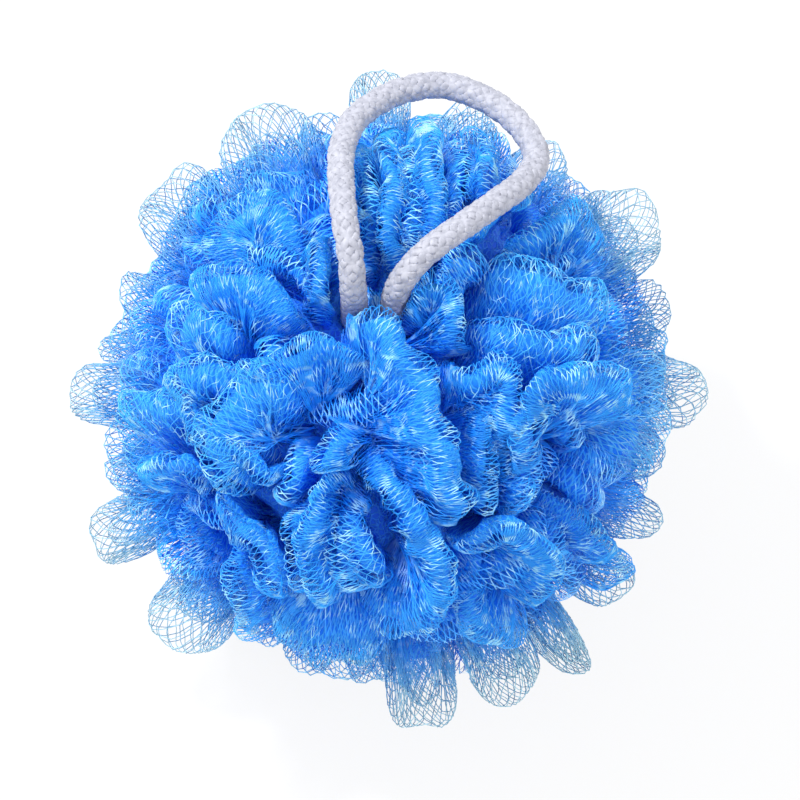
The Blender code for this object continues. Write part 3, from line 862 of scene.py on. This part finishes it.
def bump(tree, shader, height, strength, distance):
    raised = node(tree, "Bump", {"Strength": strength, "Distance": distance,
                                 "Height": height})["Normal"]
    tree.links.new(raised, shader.inputs["Normal"])


def by_depth(tree, stops, low, high):
    """Colour by distance from the ball centre, in mm, a little uneven, and darker deeper in as
    painted shade; and its share.
    """
    uneven = 0.006
    where = position(tree)
    away = node(tree, "VectorMath", {0: where, 1: tuple(CENTRE * MM)}, operation="DISTANCE")
    blots = noise(tree, where, scale=140.0, detail=2.0)
    shifted = node(tree, "Math", {0: blots["Fac"], 1: uneven, 2: away["Value"]},
                   operation="MULTIPLY_ADD")
    share = span(tree, shifted["Value"], low * MM + 0.5 * uneven, high * MM + 0.5 * uneven)
    return ramp(tree, share, stops), share


def net_material(name, stops, glint):
    """Soft plastic strands, darker deep in the ball as painted shade, with painted pale glints
    near the crests.
    """
    made, tree, shader = surface(name, (0.1, 0.4, 0.9), 0.35)
    shader.inputs["Specular IOR Level"].default_value = 0.35
    colour, share = by_depth(tree, stops, low=38.0, high=62.0)
    # Painted glints: pale noise spots mixed into the colour, strongest near the crests
    glint_noise = noise(tree, position(tree), scale=420.0, detail=3.0)["Fac"]
    glint_mask = span(tree, glint_noise, low=0.50, high=0.64, start=0.0, end=1.1)
    crest_glint_mask = node(tree, "Math", {0: glint_mask, 1: share}, operation="MULTIPLY", use_clamp=True)
    tree.links.new(mix(tree, crest_glint_mask["Value"], colour, glint), shader.inputs["Base Color"])
    return made


def layer_material():
    """Closely packed net: deep blue, darker deeper in the ball as painted shade, with the
    strands of the layers in it as paler lines.
    """
    made, tree, shader = surface("blue_net_layers", (0.02, 0.3, 0.9), 0.6)
    shader.inputs["Specular IOR Level"].default_value = 0.25
    colour, _ = by_depth(tree, LAYER_BLUES, low=40.0, high=60.0)
    cloth = node(tree, "UVMap", {}, uv_map="cloth")["UV"]
    stray = noise(tree, cloth, scale=22.0, detail=2.0)["Color"]
    bent = node(tree, "VectorMath", {0: stray, 1: (0.03, 0.03, 0.0), 2: cloth},
                operation="MULTIPLY_ADD")["Vector"]
    parts = node(tree, "SeparateXYZ", {"Vector": bent})
    lines = []
    for slant in (-0.3, 0.3):
        along = node(tree, "Math", {0: parts["Y"], 1: slant, 2: parts["X"]},
                     operation="MULTIPLY_ADD")["Value"]
        lines.append(node(tree, "Math", {0: along, 1: 0.006}, operation="PINGPONG")["Value"])
    nearest = node(tree, "Math", {0: lines[0], 1: lines[1]}, operation="MINIMUM")["Value"]
    strand = span(tree, nearest, low=0.0007, high=0.0022, start=0.7, end=0.0)
    tree.links.new(mix(tree, strand, colour, (0.07, 0.49, 1.00)), shader.inputs["Base Color"])
    bump(tree, shader, strand, strength=0.5, distance=0.0004)
    return made


def heart_material():
    """The innermost folds: deep blue, darker deeper in as painted shade, with the mesh of the
    net just showing.
    """
    made, tree, shader = surface("blue_net_deep", (0.004, 0.12, 0.60), 0.7)
    colour, _ = by_depth(tree, HEART_BLUES, low=38.0, high=48.0)
    cells = node(tree, "TexVoronoi", {"Vector": position(tree), "Scale": 760.0},
                 feature="DISTANCE_TO_EDGE")["Distance"]
    strand = span(tree, cells, low=0.04, high=0.16, start=0.6, end=0.0)
    tree.links.new(mix(tree, strand, colour, (0.05, 0.38, 0.98)), shader.inputs["Base Color"])
    bump(tree, shader, strand, strength=0.6, distance=0.0005)
    return made


def cord_material():
    """White polyester yarn, with fine fibres."""
    made, tree, shader = surface("white_braid", (0.86, 0.85, 0.90), 0.55)
    fibres = noise(tree, position(tree), scale=900.0, detail=3.0)["Fac"]
    tree.links.new(ramp(tree, fibres, CORD_WHITES), shader.inputs["Base Color"])
    bump(tree, shader, fibres, strength=0.4, distance=0.0002)
    return made


def floor_material():
    """White floor that keeps the pouf's shadow and glows enough to look white itself."""
    made, tree, shader = surface("floor_white", (0.95, 0.95, 0.95), 0.9)
    rays = node(tree, "LightPath", {})
    seen_by = rays["Is Camera Ray"]
    for other in ("Is Glossy Ray", "Is Transmission Ray"):
        seen_by = node(tree, "Math", {0: seen_by, 1: rays[other]}, operation="MAXIMUM")["Value"]
    part = node(tree, "Math", {0: seen_by, 1: FLOOR_GLOW}, operation="MULTIPLY")["Value"]
    glow = node(tree, "Emission", {})["Emission"]
    both = node(tree, "MixShader", {"Fac": part, 1: shader.outputs["BSDF"], 2: glow})["Shader"]
    tree.links.new(both, tree.nodes["Material Output"].inputs["Surface"])
    return made


def aimed(way):
    """Euler angles that point an object's -Z along way, with its top up."""
    return Vector(way).to_track_quat("-Z", "Y").to_euler()


def area_light(name, place, power, colour):
    light = bpy.data.lights.new(name, "AREA")
    light.shape = "DISK"
    light.size = LAMP_SIZE
    light.energy = power
    light.color = colour
    lamp = bpy.data.objects.new(name, light)
    bpy.context.scene.collection.objects.link(lamp)
    lamp.location = place
    lamp.rotation_euler = aimed(unit(np.array(LIT_SPOT) - np.array(place)))


# Camera, at the photo's angle and far off, as its view is all but parallel
scene = bpy.context.scene
lens = bpy.data.cameras.new("camera")
lens.lens = 1000.0
lens.sensor_width = 36.0
lens.clip_start = 0.01
lens.clip_end = 10.0
camera = bpy.data.objects.new("camera", lens)
scene.collection.objects.link(camera)
scene.camera = camera
half_photo = 0.5 * PHOTO_SIZE
distance = PHOTO_SIZE / PHOTO_SCALE * MM * lens.lens / lens.sensor_width
target = (CENTRE + RIGHT * (half_photo - PHOTO_CENTRE[0]) / PHOTO_SCALE
          + UP * (PHOTO_CENTRE[1] - half_photo) / PHOTO_SCALE) * MM
camera.location = tuple(target + TOWARD * distance)
camera.rotation_euler = aimed(-TOWARD)

# Net
cord = smooth(cord_line(), CORD_STEPS)
folds = make_folds()
rims = folds[:len(RIM_LOBES)]
front = folds[len(RIM_LOBES):len(RIM_LOBES) + len(FRONT_FOLDS)]
rest = folds[len(RIM_LOBES) + len(FRONT_FOLDS):]
placed = [front[k] for k in range(len(front)) if k not in LOOSE]
looks = {kind: net_material("blue_net_" + kind, stops, glint)
         for kind, stops, glint in NET_BLUES}
# Pieces: name, kind of net, folds, first seed, look
groups = [
    ("net_rim_lobes", "open", rims + nested_lobes(rims), 0, "open"),
    ("net_front_1", "front", placed[::2], 200, "front"),
    ("net_front_2", "front", placed[1::2], 300, "front"),
    ("net_front_loose", "loose", [front[k] for k in LOOSE], 400, "ribbed"),
    ("net_rim_folds", "open",
     [fold for fold in rest if abs(middle(fold) @ TOWARD) < RIM_ZONE], 500, "soft"),
    ("net_folds", "ribbed",
     [fold for fold in rest if abs(middle(fold) @ TOWARD) >= RIM_ZONE], 600, "ribbed"),
    ("net_inner_folds", "inner", inner_folds(folds), 700, "ribbed"),
]
strands = []
for name, kind, chosen, seed, look in groups:
    piece = net_piece(name, kind, chosen, range(seed, seed + len(chosen)), cord)
    piece.data.materials.append(looks[look])
    strands.append(piece)
layers = [(kind, chosen, range(seed, seed + len(chosen)))
          for _, kind, chosen, seed, _ in groups[1:]]
net_surface = layer_piece("net_layers", layers, cord)
net_surface.data.materials.append(layer_material())
heart = heart_piece(folds, cord)
heart.data.materials.append(heart_material())
for piece in (*strands, net_surface, heart):
    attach(piece, "root")
    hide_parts("net_ruffle")

# Cord
white = cord_material()
rope, rope_length, path = braid(cord_line())
rope.data.materials.append(white)
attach(rope, "root")
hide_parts("hanging_cord")
knot = knot_piece()
knot.data.materials.append(white)
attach(knot, "root")
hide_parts("cord_knot")
path = [tuple(float(x) for x in p) for p in (path[::8] + CENTRE) * MM]

# Studio
floor_mesh = bpy.data.meshes.new("floor")
floor_mesh.from_pydata([(-4, -4, 0), (4, -4, 0), (4, 4, 0), (-4, 4, 0)], [], [(0, 1, 2, 3)])
floor_mesh.materials.append(floor_material())
floor = bpy.data.objects.new("floor", floor_mesh)
scene.collection.objects.link(floor)
world = bpy.data.worlds.new("studio")
scene.world = world
world.use_nodes = True
world.node_tree.nodes["Background"].inputs["Color"].default_value = (1.0, 1.0, 1.0, 1.0)
world.node_tree.nodes["Background"].inputs["Strength"].default_value = 1.0
area_light("key", (-0.45, 0.35, 0.95), 9.0, (1.0, 1.0, 0.98))
area_light("fill", (0.5, -0.5, 0.9), 1.0, (0.96, 0.98, 1.0))
scene.view_settings.view_transform = "Standard"
